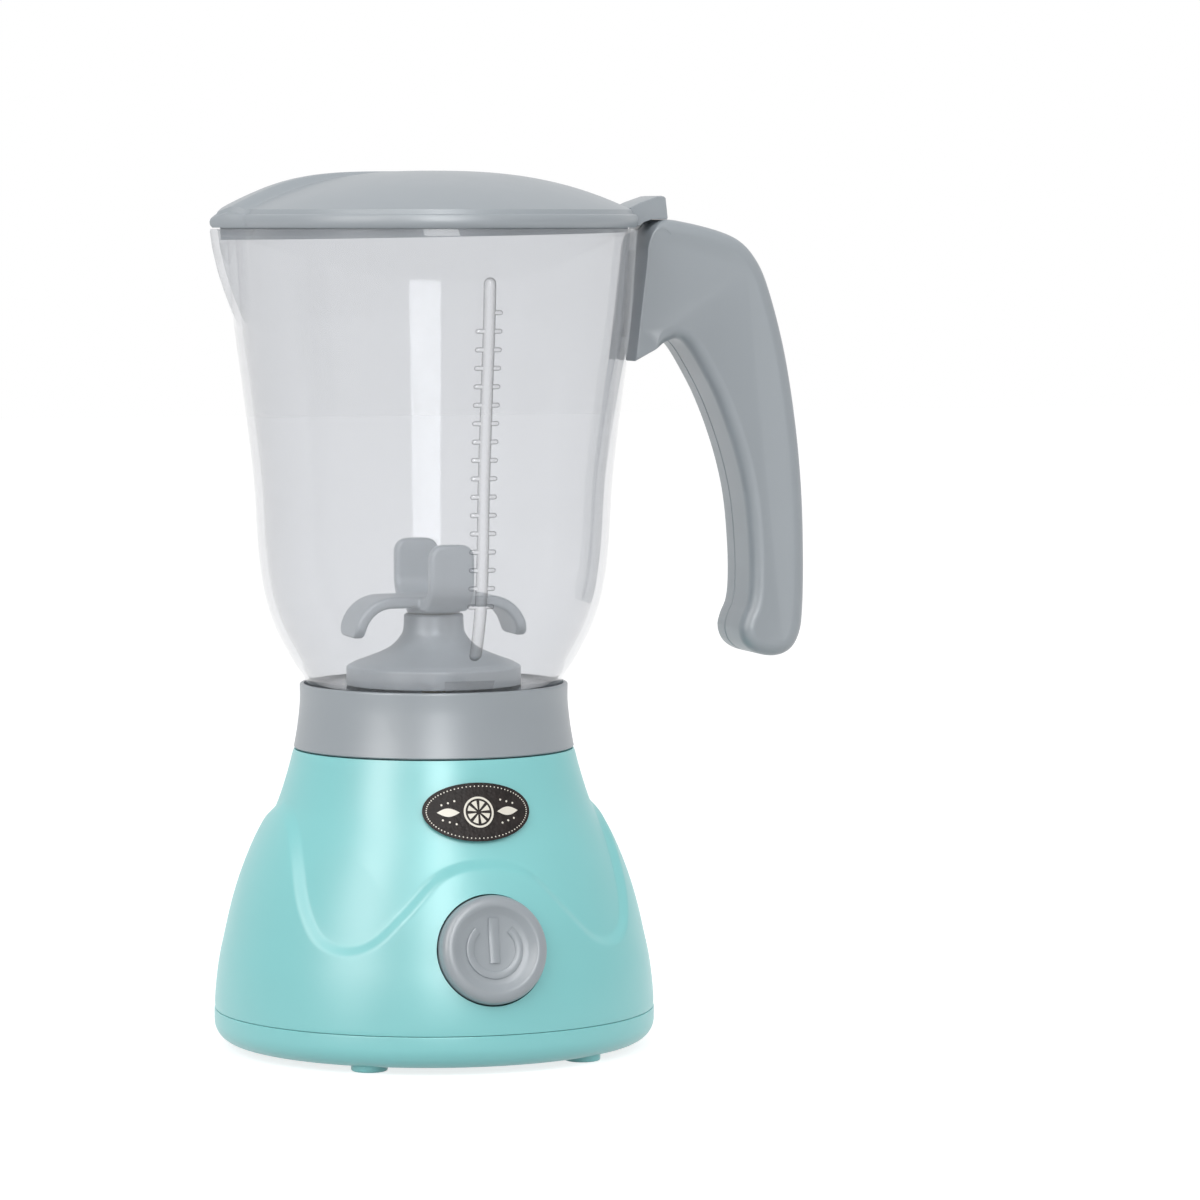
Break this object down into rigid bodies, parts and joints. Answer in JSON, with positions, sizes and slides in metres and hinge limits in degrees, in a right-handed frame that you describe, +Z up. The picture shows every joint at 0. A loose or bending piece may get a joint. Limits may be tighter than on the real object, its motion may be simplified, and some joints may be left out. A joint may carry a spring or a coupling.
{
  "type": "toy blender",
  "caption": "Battery-run toy blender: flared base with a push button and drive train, lift-off clear jar with handle and rotor, and a domed lid.",
  "frame": {"origin": "centre of the bounding box's underside, at the soles of the feet; the blender's own upright axis is 17.7 mm to -X and 1.1 mm to +Y of it", "axes": "+Z up, front with button and badge at -Y, handle at +X, spout at -X"},
  "size_m": [0.1456, 0.1078, 0.2093],
  "materials": {
    "mint_plastic": "mint ABS with a soft satin gloss",
    "gray_plastic": "cool gray ABS, satin",
    "clear_plastic": "clear polystyrene, polished",
    "badge_brown": "dark brown leather-grain print with cream line work",
    "black_plastic": "black nylon",
    "white_plastic": "natural white acetal",
    "steel": "zinc-plated steel",
    "brass": "plain brass",
    "cell_wrap": "printed sleeve, left plain",
    "wire_red": "red PVC insulation",
    "wire_black": "black PVC insulation"
  },
  "bodies": {
    "base": {"base_shell": "mint_plastic", "bottom_cover": "mint_plastic", "bottom_screw_1": "steel", "bottom_screw_2": "steel", "bottom_screw_3": "steel", "bottom_screw_4": "steel", "collar": "gray_plastic", "collar_screw_1": "steel", "collar_screw_2": "steel", "collar_screw_3": "steel", "badge": "badge_brown", "button_spring": "steel", "switch_body": "black_plastic", "battery_1": "cell_wrap", "battery_2": "cell_wrap", "bridge_contact": "brass", "positive_contact": "brass", "negative_contact": "brass", "bridge_spring": "steel", "negative_spring": "steel", "motor_can": "steel", "motor_end_cap": "white_plastic", "gear_frame": "white_plastic", "gear_cover": "white_plastic", "gearbox_screw_1": "steel", "gearbox_screw_2": "steel", "gearbox_screw_3": "steel", "lower_bush": "brass", "upper_bush": "brass", "wire_cell_to_switch": "wire_red", "wire_switch_to_motor": "wire_red", "wire_motor_to_cell": "wire_black"},
    "button": {"power_button": "gray_plastic", "button_retainer": "steel", "switch_plunger": "white_plastic"},
    "door": {"battery_door": "mint_plastic", "battery_door_screw": "steel"},
    "drive": {"output_gear": "white_plastic", "output_shaft": "steel", "drive_coupling": "white_plastic"},
    "motor": {"motor_pinion": "brass", "motor_shaft": "steel"},
    "jar": {"jar_body": "clear_plastic", "blade_base": "gray_plastic", "blade_screw_1": "steel", "blade_screw_2": "steel", "blade_screw_3": "steel", "rotor_bush": "brass", "handle_near_half": "gray_plastic", "handle_far_half": "gray_plastic", "handle_screw_1": "steel", "handle_screw_2": "steel", "handle_screw_3": "steel"},
    "rotor": {"blade_rotor": "gray_plastic", "rotor_shaft": "steel", "driven_coupling": "white_plastic"},
    "lid": {"lid": "gray_plastic"}
  },
  "joints": [
    {"name": "button_press", "type": "slide", "parent": "base", "child": "button", "axis": [0, 0.9792, -0.2028], "range_m": [0, 0.002], "stiffness_N_per_m": 600, "deforming": ["button_spring"]},
    {"name": "door_hinge", "type": "hinge", "parent": "base", "child": "door", "pos_m": [-0.04725, 0.00107, 0.0015], "axis": [0, 1, 0], "range_deg": [0, 75]},
    {"name": "drive_spin", "type": "hinge", "parent": "base", "child": "drive", "pos_m": [-0.01825, 0.00107, 0.06], "axis": [0, 0, 1], "continuous": true},
    {"name": "motor_spin", "type": "hinge", "parent": "base", "child": "motor", "pos_m": [-0.01825, 0.01707, 0.055], "axis": [0, 0, 1], "continuous": true},
    {"name": "jar_lift", "type": "slide", "parent": "base", "child": "jar", "axis": [0, 0, 1], "range_m": [0, 0.06]},
    {"name": "rotor_spin", "type": "hinge", "parent": "jar", "child": "rotor", "pos_m": [-0.01825, 0.00107, 0.1], "axis": [0, 0, 1], "continuous": true},
    {"name": "lid_lift", "type": "slide", "parent": "jar", "child": "lid", "axis": [0, 0, 1], "range_m": [0, 0.04]}
  ],
  "couplings": [
    {"joint": "motor_spin", "follows": "drive_spin", "ratio": -3},
    {"joint": "rotor_spin", "follows": "drive_spin", "ratio": 1}
  ]
}
